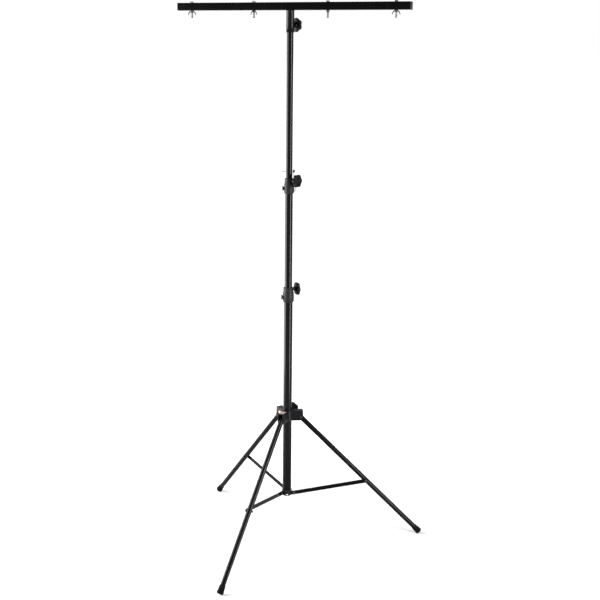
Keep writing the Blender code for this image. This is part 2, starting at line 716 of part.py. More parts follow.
def base_bracket():
    """Cup on the mast foot, with a pair of ears for each brace."""
    top = BASE_HEIGHT + CUP_HEIGHT
    profile = [(0, top), (CUP_RADIUS, top)]
    profile += [
        (CUP_RADIUS - CUP_ROUND + r, BASE_HEIGHT + CUP_ROUND + z)
        for r, z in arc(0, 0, CUP_ROUND, 0, -90, 4)
    ]
    profile.append((0, BASE_HEIGHT))
    obj = place(turned("base_bracket", profile, ring=False), MAST, finish=HUB_STEEL)
    pivot_rise = BASE_PIVOT_HEIGHT
    outline = [(0.008, pivot_rise + EAR_ROOT_RISE), (0.008, pivot_rise - EAR_ROOT_RISE)]
    outline += [(BASE_PIVOT_RADIUS + x, pivot_rise + z) for x, z in arc(0, 0, EAR_RADIUS, -75, 75, 6)]
    sides = (BRACE_INNER - SEAT - EAR_THICKNESS / 2, BRACE_OUTER + SEAT + EAR_THICKNESS / 2)
    for number, azimuth in enumerate(LEG_AZIMUTHS, 1):
        for side, offset in zip(("inner", "outer"), sides):
            ear = plate(f"{side}_ear_{number}", outline, EAR_THICKNESS)
            fuse(obj, ear, MAST, at(azimuth, 0, 0) @ Matrix.Translation((0, -offset, 0)) @ STANDING)
    pocket = rod("base_pocket", MAIN_OD / 2 + SEAT, BASE_HEIGHT + CUP_FLOOR, top + 0.01, TUBE_STEPS)
    cut(obj, pocket, MAST)
    pin_hole = BRACE_BOLT_OD / 2 + HOLE_FIT
    for number, azimuth in enumerate(LEG_AZIMUTHS, 1):
        hole = rod(f"ear_hole_{number}", pin_hole, -BRACE_OUTER - 0.01, -BRACE_INNER + 0.01)
        cut(obj, hole, MAST, at(azimuth, BASE_PIVOT_RADIUS, BASE_PIVOT_HEIGHT) @ SIDEWAYS)
        brace_pin(number, azimuth)
    rivet_hole = rod("base_rivet_hole", RIVET_OD / 2 + HOLE_FIT, MAIN_OD / 4, MAIN_OD)
    cut(obj, rivet_hole, MAST, at(RIVET_AZIMUTH, 0, BASE_HEIGHT + RIVET_RISE) @ OUTWARD)


def brace_pin(number, azimuth):
    """Rivet on which a brace swings between its two ears."""
    radius = BRACE_BOLT_OD / 2
    near = BRACE_OUTER + 2 * SEAT + EAR_THICKNESS
    far = BRACE_INNER - 2 * SEAT - EAR_THICKNESS
    rings = [
        circle(0.0030, -near - 0.0025),
        circle(0.0050, -near - 0.0015),
        circle(0.0050, -near),
        circle(radius, -near),
        circle(radius, -far),
        circle(0.0045, -far),
        circle(0.0035, -far + 0.0018),
    ]
    frame = at(azimuth, BASE_PIVOT_RADIUS, BASE_PIVOT_HEIGHT) @ SIDEWAYS
    place(loft(f"brace_pin_{number}", rings), MAST, frame, BLACK_BOLT)


def base_rivet():
    """Bright rivet that holds the cup on the main tube."""
    radius = RIVET_OD / 2
    face = CUP_RADIUS + SEAT
    rings = [
        circle(radius, MAIN_OD / 2 - MAIN_WALL + 0.0002),
        circle(radius, face),
        circle(RIVET_HEAD / 2, face),
        circle(RIVET_HEAD / 2 * 0.8, face + 0.0014),
        circle(RIVET_HEAD / 2 * 0.3, face + 0.0022),
    ]
    place(loft("base_rivet", rings), MAST, at(RIVET_AZIMUTH, 0, BASE_HEIGHT + RIVET_RISE) @ OUTWARD, STEEL)


def crossbar():
    """Square tube, drilled for the four lamp bolts, with a plug in each end."""
    half = BAR_LENGTH / 2 - BAR_CAP - SEAT
    lift = Matrix.Translation((0, 0, BAR_MIDDLE))
    rings = [rounded_square(BAR_SIDE, BAR_CORNER, x) for x in (-half, half)]
    obj = place(loft("crossbar", rings), BAR, lift, BLACK_STEEL)
    inner = BAR_SIDE - 2 * BAR_WALL
    corner = BAR_CORNER - BAR_WALL / 2
    rings = [rounded_square(inner, corner, x) for x in (-half - 0.01, half + 0.01)]
    cut(obj, loft("crossbar_bore", rings), BAR, lift)
    for number, place_x in enumerate(lamp_bolt_places(), 1):
        hole = rod(f"lamp_bolt_hole_{number}", LAMP_BOLT_OD / 2 + HOLE_FIT, -BAR_SIDE, BAR_SIDE)
        cut(obj, hole, BAR, lift @ Matrix.Translation((place_x, 0, 0)))
    plug = inner - 2 * SEAT
    for name, side in (("left", -1), ("right", 1)):
        rings = [
            rounded_square(plug, corner, side * (half - BAR_CAP_PLUG)),
            rounded_square(plug, corner, side * (half + SEAT)),
            rounded_square(BAR_SIDE, BAR_CORNER, side * (half + SEAT)),
            rounded_square(BAR_SIDE, BAR_CORNER, side * (half + SEAT + BAR_CAP * 0.6)),
            rounded_square(BAR_SIDE - 0.003, BAR_CORNER, side * (half + SEAT + BAR_CAP)),
        ]
        place(loft(f"crossbar_cap_{name}", rings), BAR, lift, BLACK_PLASTIC)


def lamp_bolt_places():
    """Where the lamp bolts stand along the bar: the outer pair keeps its distance from the bar's ends."""
    outer = BAR_LENGTH / 2 - LAMP_BOLT_INSET
    return (-outer, -LAMP_BOLT_INNER, LAMP_BOLT_INNER, outer)


def lamp_bolts():
    """Four upright bolts through the bar, and the wing nuts under it."""
    radius = LAMP_BOLT_OD / 2
    top = BAR_SIDE + SEAT
    head = LAMP_BOLT_HEAD_HEIGHT
    for number, (place_x, turn) in enumerate(zip(lamp_bolt_places(), WING_TURNS), 1):
        rings = [
            circle(radius * 0.75, -LAMP_BOLT_BELOW),
            circle(radius, -LAMP_BOLT_BELOW + 0.0015),
            circle(radius, top),
            hexagon(LAMP_BOLT_HEAD, top),
            hexagon(LAMP_BOLT_HEAD, top + head * 0.8),
            circle(LAMP_BOLT_HEAD / 2 * 0.9, top + head),
        ]
        spot = Matrix.Translation((place_x, 0, BAR_UNDERSIDE))
        place(loft(f"lamp_bolt_{number}", rings), BAR, spot, BLACK_BOLT)
        wing_nut(number, spot @ Matrix.Rotation(turn, 4, "Z"))


def wing_nut(number, frame):
    """Wing nut that hangs under the bar on a lamp bolt."""
    body = WING_BODY / 2
    rings = [
        circle(body, -SEAT),
        circle(body, -SEAT - 0.0012),
        circle(body * 0.78, -SEAT - WING_BODY_HEIGHT),
    ]
    obj = place(loft(f"wing_nut_{number}", rings), BAR, frame, BLACK_BOLT)
    tip = WING_SPAN / 2
    wing = [(0, -0.0022), (body * 0.9, -0.0022)]
    wing += arc(tip - 0.0045, -WING_HEIGHT + 0.0055, 0.0045, 30, -160, 6)
    wing += [(body * 0.80, -WING_BODY_HEIGHT * 0.85), (0, -WING_BODY_HEIGHT * 0.85)]
    outline = wing[1:-1] + [(-x, y) for x, y in reversed(wing[1:-1])]
    fuse(obj, plate(f"wings_{number}", outline, WING_THICKNESS), BAR, frame @ STANDING)
    bore = rod(f"wing_nut_bore_{number}", LAMP_BOLT_OD / 2 + HOLE_FIT, -WING_HEIGHT, 0.01)
    cut(obj, bore, BAR, frame)


def crossbar_sleeve():
    """Sleeve welded under the bar, which drops over the top tube and clamps on it."""
    outer = SLEEVE_OD / 2
    inner = TOP_OD / 2 + SLEEVE_FIT
    top = BAR_UNDERSIDE - SEAT
    profile = [
        (outer + WELD * 0.8, top),
        (outer + WELD * 0.3, top - WELD * 0.5),
        (outer, top - WELD),
        (outer, SLEEVE_BOTTOM + SLEEVE_LIP_HEIGHT),
        (outer + SLEEVE_LIP, SLEEVE_BOTTOM + SLEEVE_LIP_HEIGHT * 0.6),
        (outer + SLEEVE_LIP, SLEEVE_BOTTOM),
        (inner, SLEEVE_BOTTOM),
        (inner, top),
    ]
    obj = place(turned("crossbar_sleeve", profile), BAR, finish=BLACK_STEEL)
    azimuth = BAR_KNOB_AZIMUTH - BAR_YAW
    height = SLEEVE_BOTTOM + BAR_KNOB_RISE
    boss_end = outer + BOSS_REACH
    boss = rod("sleeve_boss", BOSS_OD / 2, (inner + outer) / 2, boss_end, SMALL_STEPS)
    fuse(obj, boss, BAR, at(azimuth, 0, height) @ OUTWARD)
    hole = rod("sleeve_stud_hole", STUD_OD / 2 + HOLE_FIT, inner / 2, boss_end + 0.01)
    cut(obj, hole, BAR, at(azimuth, 0, height) @ OUTWARD)
    knob("crossbar_knob", TOP_OD / 2 + SEAT, boss_end, BAR, azimuth, height, 0)


def safety_pin():
    """Pin through the top tube, with a shoulder that stops it there and a moulded handle on its tail."""
    radius = PIN_OD / 2
    face = TOP_OD / 2 + SEAT
    seat = face + PIN_SHOULDER
    tail = seat + PIN_TAIL
    rings = [
        circle(radius * 0.5, -PIN_TIP),
        circle(radius, -PIN_TIP + 0.002),
        circle(radius, face),
        circle(PIN_SHOULDER_OD / 2, face),
        circle(PIN_SHOULDER_OD / 2, seat),
        circle(radius, seat),
        circle(radius, tail - 0.001),
        circle(radius * 0.7, tail),
    ]
    frame = at(PIN_AZIMUTH, 0, PIN_HEIGHT) @ OUTWARD
    place(loft("safety_pin", rings), PIN, frame, STEEL)
    near = seat + SEAT
    end = near + HANDLE_LENGTH
    rim = HANDLE_OD / 2
    bore = radius + SEAT
    profile = [(0, end)]
    profile += arc(rim - HANDLE_EDGE, end - HANDLE_EDGE, HANDLE_EDGE, 90, 0, 3)
    profile += [
        (rim, near + HANDLE_NECK + 0.0005),
        (rim - 0.0005, near + HANDLE_NECK),
        (HANDLE_NECK_OD / 2, near + HANDLE_NECK),
        (HANDLE_NECK_OD / 2, near),
        (bore, near),
        (bore, tail + SEAT),
        (0, tail + SEAT),
    ]
    place(turned("pin_handle", profile, SMALL_STEPS, ring=False), PIN, frame, KNOB_PLASTIC)


def lanyard():
    """Thin cord from the neck of the pin's handle, down in a loop and up to the boss of the upper collar."""
    frame = at(UPPER_KNOB_AZIMUTH, 0, 0)
    route = smooth(LANYARD_ROUTE, 2)
    curve = bpy.data.curves.new("pin_lanyard", "CURVE")
    curve.dimensions = "3D"
    curve.bevel_depth = LANYARD_OD / 2
    curve.bevel_resolution = 2
    curve.use_fill_caps = True
    spline = curve.splines.new("POLY")
    spline.points.add(len(route) - 1)
    for point, spot in zip(spline.points, route):
        point.co = (*(frame @ spot), 1)
    place(meshed("pin_lanyard", curve), MIDDLE, finish=CORD)


def smooth(points, between):
    """A smooth curve through the points, with some more points between each two."""
    spots = [Vector(p) for p in points]
    ends = [2 * spots[0] - spots[1]] + spots + [2 * spots[-1] - spots[-2]]
    made = []
    for a, b, c, d in zip(ends, ends[1:], ends[2:], ends[3:]):
        for i in range(between):
            t = i / between
            made.append(
                0.5 * ((2 * b) + (c - a) * t + (2 * a - 5 * b + 4 * c - d) * t**2 + (3 * b - a - 3 * c + d) * t**3)
            )
    made.append(spots[-1])
    return made


# The lanyard's points: out from the mast along the upper knob, sideways behind the knob, and up
LANYARD_ROUTE = [
    (0.0100, 0.0187, PIN_HEIGHT - 0.0048),
    (0.0104, 0.0189, PIN_HEIGHT - 0.0120),
    (0.0120, 0.0192, PIN_HEIGHT - 0.0200),
    (0.0144, 0.0192, PIN_HEIGHT - 0.0290),
    (0.0179, 0.0187, PIN_HEIGHT - 0.0400),
    (0.0222, 0.0176, PIN_HEIGHT - 0.0520),
    (0.0262, 0.0166, PIN_HEIGHT - 0.0650),
    (0.0288, 0.0148, PIN_HEIGHT - 0.0760),
    (0.0303, 0.0122, PIN_HEIGHT - 0.0855),
    (0.0309, 0.0106, PIN_HEIGHT - 0.0900),
    (0.0312, 0.0101, PIN_HEIGHT - 0.0938),
    (0.0314, 0.0088, PIN_HEIGHT - 0.0971),
    (0.0314, 0.0055, PIN_HEIGHT - 0.0984),
    (0.0314, 0.0022, PIN_HEIGHT - 0.0971),
    (0.0312, 0.0009, PIN_HEIGHT - 0.0938),
    (0.0311, 0.0005, PIN_HEIGHT - 0.0900),
    (0.0308, 0.0001, PIN_HEIGHT - 0.0850),
    (0.0302, 0.0000, PIN_HEIGHT - 0.0770),
    (0.0292, 0.0000, PIN_HEIGHT - 0.0680),
    (0.0283, 0.0000, PIN_HEIGHT - 0.0605),
    (0.0278, 0.0000, PIN_HEIGHT - 0.0542),
]

clear_scene()
STAND = new_collection("light_stand")
CUTTERS = new_collection("cutters")
CUTTERS.hide_render = True

BLACK_STEEL = material("black_steel", (0.012, 0.012, 0.013), 0.34, 0.2)
HUB_STEEL = material("black_pressed_steel", (0.016, 0.016, 0.018), 0.45, 0.2)
COLLAR_PLASTIC = material("grey_black_plastic", (0.035, 0.035, 0.04), 0.6)
KNOB_PLASTIC = material("black_knob_plastic", (0.010, 0.010, 0.011), 0.5)
BLACK_PLASTIC = material("black_cap_plastic", (0.02, 0.02, 0.021), 0.5)
WHITE_PLASTIC = material("white_bush_plastic", (0.6, 0.6, 0.58), 0.5)
RUBBER = material("black_rubber", (0.012, 0.012, 0.012), 0.8)
STEEL = material("zinc_steel", (0.55, 0.55, 0.56), 0.35, 0.9)
BLACK_BOLT = material("blackened_steel", (0.018, 0.018, 0.019), 0.4, 0.6)
CORD = material("black_cord", (0.01, 0.01, 0.01), 0.9)

MAST = empty("mast_axis", matrix=Matrix.Translation((MAST_X, MAST_Y, 0)))
HUB = empty("hub_slide", MAST, Matrix.Translation((0, 0, HUB_PIVOT_HEIGHT)))
MIDDLE = empty("middle_slide", MAST)
TOP = empty("top_slide", MIDDLE)
PIN = empty("pin_slide", TOP)
BAR = empty("crossbar_swivel", TOP, Matrix.Rotation(BAR_YAW, 4, "Z"))

main_tube()
collar("lower_collar", MAIN_OD, MIDDLE_OD, MAIN_TOP, MAST, LOWER_KNOB_AZIMUTH, BOSS_REACH, LOWER_BOLT_AZIMUTH)
base_bracket()
base_rivet()
leg_hub()
for leg_number, leg_azimuth in enumerate(LEG_AZIMUTHS, 1):
    hub_pivot(leg_number, leg_azimuth)
    leg(leg_number, empty(f"leg_hinge_{leg_number}", HUB, at(leg_azimuth, HUB_PIVOT_RADIUS, 0)))
    base = at(leg_azimuth, BASE_PIVOT_RADIUS, BASE_PIVOT_HEIGHT)
    brace(leg_number, empty(f"brace_hinge_{leg_number}", MAST, base))
middle_section()
top_section()
crossbar()
crossbar_sleeve()
lamp_bolts()
safety_pin()
lanyard()
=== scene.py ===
"""Light stand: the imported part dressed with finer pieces, materials, a pale floor and soft light."""

import json
import math

import bmesh
import bpy
from mathutils import Matrix, Vector

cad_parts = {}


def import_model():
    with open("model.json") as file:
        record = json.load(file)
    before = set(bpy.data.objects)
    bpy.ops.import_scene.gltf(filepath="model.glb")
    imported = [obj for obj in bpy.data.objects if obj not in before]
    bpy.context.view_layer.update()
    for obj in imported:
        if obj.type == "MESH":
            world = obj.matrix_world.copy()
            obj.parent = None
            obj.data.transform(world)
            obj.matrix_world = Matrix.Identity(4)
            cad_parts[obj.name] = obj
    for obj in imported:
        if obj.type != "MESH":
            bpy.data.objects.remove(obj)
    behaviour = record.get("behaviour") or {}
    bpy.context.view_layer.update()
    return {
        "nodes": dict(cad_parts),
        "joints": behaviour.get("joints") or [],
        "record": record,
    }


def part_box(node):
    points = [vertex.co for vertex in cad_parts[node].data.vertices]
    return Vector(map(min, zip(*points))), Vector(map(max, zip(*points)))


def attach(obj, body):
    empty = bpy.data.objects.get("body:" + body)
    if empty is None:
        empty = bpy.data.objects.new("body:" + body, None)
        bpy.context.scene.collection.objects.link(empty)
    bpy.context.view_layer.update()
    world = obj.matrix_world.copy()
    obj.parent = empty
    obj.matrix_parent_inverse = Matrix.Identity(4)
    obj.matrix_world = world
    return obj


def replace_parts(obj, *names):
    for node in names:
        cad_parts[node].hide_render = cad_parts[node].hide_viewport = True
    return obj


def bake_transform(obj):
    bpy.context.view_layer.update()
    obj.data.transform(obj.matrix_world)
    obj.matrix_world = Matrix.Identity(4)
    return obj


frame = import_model()
NODES = frame["nodes"]
JOINTS = {joint["name"]: joint for joint in frame["joints"]}
SLOTS = {part["node"]: part["material_slot"] for part in frame["record"]["subparts"]}
LEGS = (1, 2, 3)
LAMPS = (1, 2, 3, 4)

# The camera, fitted to the photograph: metres from the mast axis and floor, radians, and millimetres of lens
CAMERA_BACK = 5.2805
CAMERA_HEIGHT = 2.5453
CAMERA_PITCH = 0.2313
CAMERA_ROLL = 0.0099
CAMERA_TURN = 0.0113
LENS = 64.0
SENSOR = 36.0

# The mast axis, the gap that seated pieces keep, and turns that take Z to X and Z to Y
LOW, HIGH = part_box("main_tube")
MAST_X = (LOW.x + HIGH.x) / 2
MAST_Y = (LOW.y + HIGH.y) / 2
SEAT = 0.0003
OUTWARD = Matrix.Rotation(math.pi / 2, 4, "Y")
SIDEWAYS = Matrix.Rotation(-math.pi / 2, 4, "X")

# How near two points are merged: where a ring closes, and in a copy of a CAD node
RING_MERGE = 0.000001
NODE_MERGE = 0.00005

# Copies of CAD nodes: degrees under which faces count as flat, and over which an edge is rounded
FLAT_ANGLE = 2.0
EDGE_ANGLE = 38
SOFTENED = (
    # node, body, width of the rounded edge, segments
    ("leg_hub", "hub", 0.0009, 3),
    ("base_bracket", "base", 0.0006, 2),
    ("lower_collar", "base", 0.0010, 3),
    ("upper_collar", "middle_mast", 0.0010, 3),
    ("lower_collar_bolt", "base", 0.0010, 3),
    ("upper_collar_bolt", "middle_mast", 0.0010, 3),
    ("crossbar_cap_left", "crossbar", 0.0008, 2),
    ("crossbar_cap_right", "crossbar", 0.0008, 2),
    ("crossbar_sleeve", "crossbar", 0.0005, 2),
    ("safety_pin", "safety_pin", 0.0004, 2),
    ("pin_handle", "safety_pin", 0.0003, 2),
    ("main_tube", "base", 0.0004, 2),
    ("middle_tube", "middle_mast", 0.0004, 2),
    ("top_tube", "top_mast", 0.0004, 2),
)

# Knobs: their turns are in degrees
KNOB_TURNS = {"hub_knob": 0, "lower_knob": 30, "upper_knob": 30, "crossbar_knob": 0}
KNOB_RADIUS = 0.0312
KNOB_LOBE = 0.0022
KNOB_LOBES = 6
LOBE_POINTS = 12
KNOB_THICKNESS = 0.016
KNOB_HUB_RADIUS = 0.013
KNOB_HUB_HEIGHT = 0.006
KNOB_HUB_EDGE = 0.0006
KNOB_FILLET = 0.0012
KNOB_EDGE = 0.0035
KNOB_DISH = 0.0035
KNOB_HUB_SHARE = KNOB_HUB_RADIUS / KNOB_RADIUS
KNOB_BACK = (
    # share of the radius, height over the seat, share of the lobes
    (KNOB_HUB_SHARE * 0.95, 0, 0),
    (KNOB_HUB_SHARE, KNOB_HUB_EDGE, 0),
    (KNOB_HUB_SHARE * 1.04, KNOB_HUB_HEIGHT - KNOB_FILLET, 0.1),
    (KNOB_HUB_SHARE * 1.2, KNOB_HUB_HEIGHT, 0.3),
    (0.62, KNOB_HUB_HEIGHT, 0.7),
)
KNOB_FRONT = (
    # share of the radius, height over the front, share of the lobes
    (0.80, -0.0001, 0.8),
    (0.66, -0.0005, 0.3),
    (0.635, -0.0009, 0.1),
    (0.60, 0.0006 - KNOB_DISH, 0),
    (0.58, -KNOB_DISH, 0),
    (0.44, -KNOB_DISH, 0),
    (0.42, 0.0010 - KNOB_DISH, 0),
    (0.39, 0.0016 - KNOB_DISH, 0),
    (0.20, 0.0022 - KNOB_DISH, 0),
)

# Lamp bolts: the tip and its face are shares of the radius, the thread has so many rows of points to a turn,
# and the head's slope is the drop of its chamfer past the flats
BAR_SIDE = 0.037
BOLT_SIDES = 24
BOLT_RADIUS = 0.005
BOLT_BELOW = 0.036
BOLT_TIP = 0.78
BOLT_TIP_FACE = 0.74
BOLT_TIP_LENGTH = 0.0015
THREAD_PITCH = 0.0015
THREAD_DEPTH = 0.0009
THREAD_ROWS = 6
THREAD_END = 0.0006
HEAD_ACROSS = 0.016
HEAD_HEIGHT = 0.0062
HEAD_CHAMFER = 0.0006
HEAD_SLOPE = 0.6
HEAD_TOP = (
    # share of the half width, depth under the top
    (0.95, 0.0002),
    (0.88, 0),
)

# Wing nuts: turns in degrees from the bar, a coned body, and wings along a spine in the plane of X and Z
WING_TURNS = (18, 64, 112, 30)
NUT_SIDES = 32
NUT_RADIUS = 0.0085
NUT_HEIGHT = 0.010
NUT_BORE = 0.0053
NUT_EDGE = 0.0006
NUT_BORE_EDGE = 0.0005
NUT_RIM = 0.0018
NUT_SHOULDER = 0.0040
NUT_FOOT_EDGE = 0.0008
NUT_CONE = (0.90, 0.80, 0.72)
WING_SPINE = (
    (0.0062, 0, -0.0048),
    (0.0100, 0, -0.0054),
    (0.0138, 0, -0.0088),
    (0.0164, 0, -0.0132),
    (0.0180, 0, -0.0186),
)
WING_STEPS = 3
WING_SIDES = 12
WING_DEPTH = 0.0034
WING_TAPER = 0.0032
WING_SWELL = 0.0022
WING_THICKNESS = 0.0015
WING_THINNING = 0.0003
WING_END = (
    # reach past the spine, share of the last section
    (0.0008, 0.85),
    (0.0014, 0.6),
    (0.0018, 0.25),
)

# Feet: the boot is turned round the leg's axis, and its middle points keep a tiny radius
LEG_RADIUS = 0.013
AXIS_RADIUS = 0.00001
BOOT_SIDES = 48
BOOT_LENGTH = 0.040
BOOT_WALL = 0.0018
BOOT_FLARE = 0.0025
BOOT_EDGE = 0.004
BOOT_SOLE = 0.006
BOOT_PRESS = 0.0006
BOOT_RADIUS = LEG_RADIUS + SEAT + BOOT_WALL + BOOT_FLARE
BOOT_SEAL = 0.0004
BOOT_LIP = 0.0008
BOOT_SHOULDER = 0.0056
BOOT_NECK = (
    # depth into the wall, distance under the top
    (0, 0.0034),
    (0.0006, 0.0040),
    (0.0005, 0.0050),
)
BOOT_GROOVES = (0.38, 0.57, 0.76)
BOOT_GROOVE = (
    # share of the side past the groove's start, depth
    (0, 0),
    (0.03, 0.0009),
    (0.08, 0.0009),
    (0.11, 0),
)
BOOT_TREAD = (
    # distance in from the sole's rim, depth
    (0.0020, 0),
    (0.0026, 0.0010),
    (0.0046, 0.0010),
    (0.0052, 0),
)

# The blank foils: the hub's brackets, and each foil's place and size on its bracket
HUB_HALF = 0.0161
HUB_TOP_RISE = 0.0369
FOIL_THICKNESS = 0.0004
FOIL_COLUMNS = 20
FOIL_ROWS = 12
TOP_FOIL_REACH = 0.055
TOP_FOIL_SIZE = (0.038, 0.026)
SIDE_FOIL_REACH = 0.044
SIDE_FOIL_RISE = 0.009
SIDE_FOIL_SIZE = (0.028, 0.020)

# The lanyard, in metres along and across the upper knob's direction and above the pin
CORD_RADIUS = 0.001
CORD_SIDES = 12
LANYARD_ROUTE = [
    (0.0100, 0.0187, -0.0048),
    (0.0104, 0.0189, -0.0120),
    (0.0120, 0.0192, -0.0200),
    (0.0144, 0.0192, -0.0290),
    (0.0179, 0.0187, -0.0400),
    (0.0222, 0.0176, -0.0520),
    (0.0262, 0.0166, -0.0650),
    (0.0288, 0.0148, -0.0760),
    (0.0303, 0.0122, -0.0855),
    (0.0309, 0.0106, -0.0900),
    (0.0312, 0.0101, -0.0938),
    (0.0314, 0.0088, -0.0971),
    (0.0314, 0.0055, -0.0984),
    (0.0314, 0.0022, -0.0971),
    (0.0312, 0.0009, -0.0938),
    (0.0311, 0.0005, -0.0900),
    (0.0308, 0.0001, -0.0850),
    (0.0302, 0.0000, -0.0770),
    (0.0292, 0.0000, -0.0680),
    (0.0283, 0.0000, -0.0605),
    (0.0278, 0.0000, -0.0542),
]
LANYARD_STEPS = 6
LANYARD_SPLIT = 5
EYE_RADIUS = 0.0006
EYE_GAP = 0.0001
EYE_STEPS = 32
EYE_SIDES = 10
HANDLE_NECK_RADIUS = 0.0045
HANDLE_NECK_REACH = 0.0212


def add_object(name, data):
    """A new object in the scene."""
    obj = bpy.data.objects.new(name, data)
    bpy.context.scene.collection.objects.link(obj)
    return obj


def camera():
    """The photograph's camera."""
    data = bpy.data.cameras.new("camera")
    data.lens = LENS
    data.sensor_width = SENSOR
    data.clip_start = 0.1
    data.clip_end = 400
    obj = add_object("camera", data)
    bpy.context.scene.camera = obj
    across = Vector((math.cos(CAMERA_TURN), -math.sin(CAMERA_TURN), 0))
    ahead = Vector((math.sin(CAMERA_TURN), math.cos(CAMERA_TURN), 0))
    rise = Vector((0, 0, 1))
    forward = ahead * math.cos(CAMERA_PITCH) - rise * math.sin(CAMERA_PITCH)
    upward = ahead * math.sin(CAMERA_PITCH) + rise * math.cos(CAMERA_PITCH)
    right = across * math.cos(CAMERA_ROLL) + upward * math.sin(CAMERA_ROLL)
    up = upward * math.cos(CAMERA_ROLL) - across * math.sin(CAMERA_ROLL)
    place = Vector((MAST_X, MAST_Y - CAMERA_BACK, CAMERA_HEIGHT))
    columns = Matrix((right, up, -forward)).transposed().to_4x4()
    obj.matrix_world = Matrix.Translation(place) @ columns


def softbox(name, azimuth, distance, height, size, power, gloss=False):
    """A lit panel that faces the mast: azimuth in degrees from +X towards +Y, size as width and height.

    With gloss, it shows only in glossy surfaces and adds no light to the rest.
    """
    data = bpy.data.lights.new(name, "AREA")
    data.shape = "RECTANGLE"
    data.size, data.size_y = size
    data.energy = power
    obj = add_object(name, data)
    a = math.radians(azimuth)
    source = Vector((math.cos(a), math.sin(a), 0))
    obj.rotation_mode = "QUATERNION"
    obj.rotation_quaternion = source.to_track_quat("Z", "Y")
    obj.location = Vector((MAST_X, MAST_Y, height)) + source * distance
    obj.visible_camera = False
    obj.visible_diffuse = not gloss


def top_light(power, size, height, forward):
    """A soft panel overhead, somewhat towards the camera."""
    data = bpy.data.lights.new("overhead", "AREA")
    data.shape = "SQUARE"
    data.size = size
    data.energy = power
    obj = add_object("overhead", data)
    obj.location = (MAST_X, MAST_Y - forward, height)
    obj.visible_camera = False


def add_node(tree, kind, inputs=None, **settings):
    """A new shader node. An input, by name or number, gets a value or a link from another node's socket."""
    node = tree.nodes.new(kind)
    for name, value in settings.items():
        setattr(node, name, value)
    for name, value in (inputs or {}).items():
        if isinstance(value, bpy.types.NodeSocket):
            tree.links.new(value, node.inputs[name])
        else:
            node.inputs[name].default_value = value
    return node


def seen_mix(tree, unseen, seen):
    """One shader for camera, glossy and transmission rays, and another for the rest."""
    path = add_node(tree, "ShaderNodeLightPath")
    total = path.outputs["Is Camera Ray"]
    for name in ("Is Glossy Ray", "Is Transmission Ray"):
        either = add_node(tree, "ShaderNodeMath", {0: total, 1: path.outputs[name]}, operation="MAXIMUM")
        total = either.outputs[0]
    return add_node(tree, "ShaderNodeMixShader", {0: total, 1: unseen.outputs[0], 2: seen.outputs[0]})


def world(ambient):
    """White where it is seen or mirrored, and a plain soft light elsewhere."""
    made = bpy.data.worlds.new("world")
    bpy.context.scene.world = made
    made.use_nodes = True
    tree = made.node_tree
    tree.nodes.clear()
    light = add_node(tree, "ShaderNodeBackground", {"Color": (1, 1, 1, 1), "Strength": ambient})
    seen = add_node(tree, "ShaderNodeBackground", {"Color": (1, 1, 1, 1), "Strength": 1.0})
    add_node(tree, "ShaderNodeOutputWorld", {"Surface": seen_mix(tree, light, seen).outputs[0]})


def floor(size, near, far, lift):
    """A plain pale floor, lifted to white where it is seen far from the stand. Near it the shadow stays."""
    bm = bmesh.new()
    bmesh.ops.create_grid(bm, x_segments=2, y_segments=2, size=size)
    mesh = bpy.data.meshes.new("floor")
    bm.to_mesh(mesh)
    bm.free()
    obj = add_object("floor", mesh)
    made = bpy.data.materials.new("pale_floor")
    made.use_nodes = True
    tree = made.node_tree
    shader = tree.nodes["Principled BSDF"]
    shader.inputs["Base Color"].default_value = (0.85, 0.85, 0.85, 1)
    shader.inputs["Roughness"].default_value = 0.9
    shader.inputs["Specular IOR Level"].default_value = 0.0
    place = add_node(tree, "ShaderNodeTexCoord").outputs["Object"]
    away = add_node(tree, "ShaderNodeVectorMath", {0: place}, operation="LENGTH").outputs["Value"]
    ramp = {"Value": away, "From Min": near, "From Max": far, "To Min": 0.0, "To Max": lift}
    rise = add_node(tree, "ShaderNodeMapRange", ramp, interpolation_type="SMOOTHSTEP").outputs["Result"]
    glow = add_node(tree, "ShaderNodeEmission", {"Strength": rise})
    dark = add_node(tree, "ShaderNodeEmission", {"Strength": 0.0})
    lifted = seen_mix(tree, dark, glow)
    total = add_node(tree, "ShaderNodeAddShader", {0: shader.outputs[0], 1: lifted.outputs[0]})
    tree.links.new(total.outputs[0], tree.nodes["Material Output"].inputs["Surface"])
    obj.data.materials.append(made)


